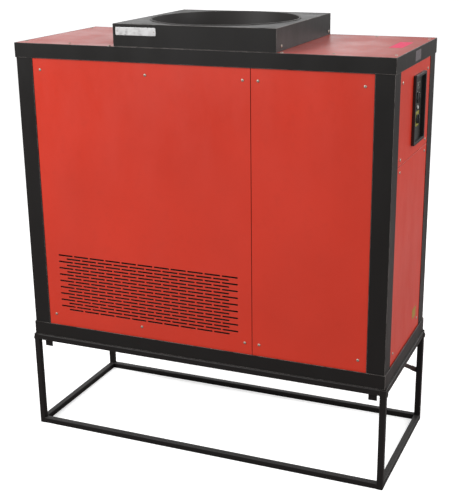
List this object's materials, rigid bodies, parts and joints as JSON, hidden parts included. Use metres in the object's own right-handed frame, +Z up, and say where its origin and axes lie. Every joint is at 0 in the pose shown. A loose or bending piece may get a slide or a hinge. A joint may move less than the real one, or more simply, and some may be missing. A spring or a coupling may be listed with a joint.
{
  "type": "refrigerated air dryer",
  "caption": "Cabinet air dryer with a compressor circuit, slotted front intake, round top discharge fan, side control window and a square-tube floor stand.",
  "frame": {"origin": "on the floor, under the centre of the stand and cabinet", "axes": "+Z up, front panels face -Y, +X to the right as seen from the front, with the control window on the +X side"},
  "size_m": [1.26, 0.526, 1.4191],
  "materials": {
    "powder_red": "semi-gloss powder coat",
    "powder_black": "satin powder coat",
    "tube_black": "satin paint on square tube",
    "guard_black": "dipped black wire",
    "galvanised": "galvanised sheet",
    "aluminium": "satin",
    "cast_grey": "painted casting",
    "copper": "drawn copper, slightly dulled",
    "steel_black": "black enamel",
    "filter_media": "pleated non-woven media",
    "plastic_black": "moulded",
    "plastic_grey": "fine texture",
    "plastic_yellow": "moulded",
    "plastic_white": "moulded",
    "plastic_brown": "dark brown drain pipe"
  },
  "bodies": {
    "cabinet": {"stand_leg_front_left": "tube_black", "stand_leg_front_right": "tube_black", "stand_leg_rear_left": "tube_black", "stand_leg_rear_right": "tube_black", "stand_bottom_rail_front": "tube_black", "stand_bottom_rail_rear": "tube_black", "stand_bottom_rail_left": "tube_black", "stand_bottom_rail_right": "tube_black", "stand_top_rail_front": "tube_black", "stand_top_rail_rear": "tube_black", "stand_top_rail_left": "tube_black", "stand_top_rail_right": "tube_black", "base_tray": "powder_black", "corner_post_front_left": "powder_black", "corner_post_front_right": "powder_black", "corner_post_rear_left": "powder_black", "corner_post_rear_right": "powder_black", "front_mullion": "powder_black", "rear_mullion": "powder_black", "side_rail_left": "powder_black", "side_rail_right": "powder_black", "cap_frame": "powder_black", "bulkhead": "galvanised", "front_panel_left": "powder_red", "front_panel_right": "powder_red", "rear_panel_left": "powder_red", "rear_panel_right": "powder_red", "side_panel_left_lower": "powder_red", "side_panel_left_upper": "powder_red", "side_panel_right_lower": "powder_red", "side_panel_right_upper": "powder_red", "top_panel": "powder_red", "fan_cowl": "powder_black", "fan_collar": "powder_black", "fan_guard": "guard_black", "fan_motor": "cast_grey", "fan_motor_mount": "galvanised", "drip_tray": "galvanised", "evaporator_coil": "aluminium", "condenser_coil": "aluminium", "air_filter": "filter_media", "compressor": "steel_black", "liquid_receiver": "steel_black", "filter_drier": "copper", "suction_pipe": "copper", "discharge_pipe": "copper", "condenser_pipe": "copper", "liquid_pipe": "copper", "expansion_valve": "copper", "window_bezel": "powder_black", "control_fascia": "plastic_grey", "electrical_box": "galvanised", "isolator_plate": "plastic_yellow", "hour_meter": "plastic_white", "drain_pipe": "plastic_brown", "cable_gland": "plastic_black"},
    "impeller": {"fan_impeller": "aluminium"},
    "isolator": {"isolator_knob": "plastic_black"},
    "humidistat": {"humidistat_knob": "plastic_black"},
    "reset": {"reset_button": "plastic_white"}
  },
  "joints": [
    {"name": "fan_spin", "type": "hinge", "parent": "cabinet", "child": "impeller", "pos_m": [0.004, -0.003, 1.322], "axis": [0, 0, 1], "continuous": true},
    {"name": "isolator_turn", "type": "hinge", "parent": "cabinet", "child": "isolator", "pos_m": [0.62, 0.043, 1.125], "axis": [-1, 0, 0], "range_deg": [0, 90]},
    {"name": "humidistat_turn", "type": "hinge", "parent": "cabinet", "child": "humidistat", "pos_m": [0.62, 0.043, 1.19], "axis": [-1, 0, 0], "range_deg": [-135, 135]},
    {"name": "reset_press", "type": "slide", "parent": "cabinet", "child": "reset", "axis": [-1, 0, 0], "range_m": [0, 0.003], "stiffness_N_per_m": 300, "springref_m": -0.002}
  ]
}
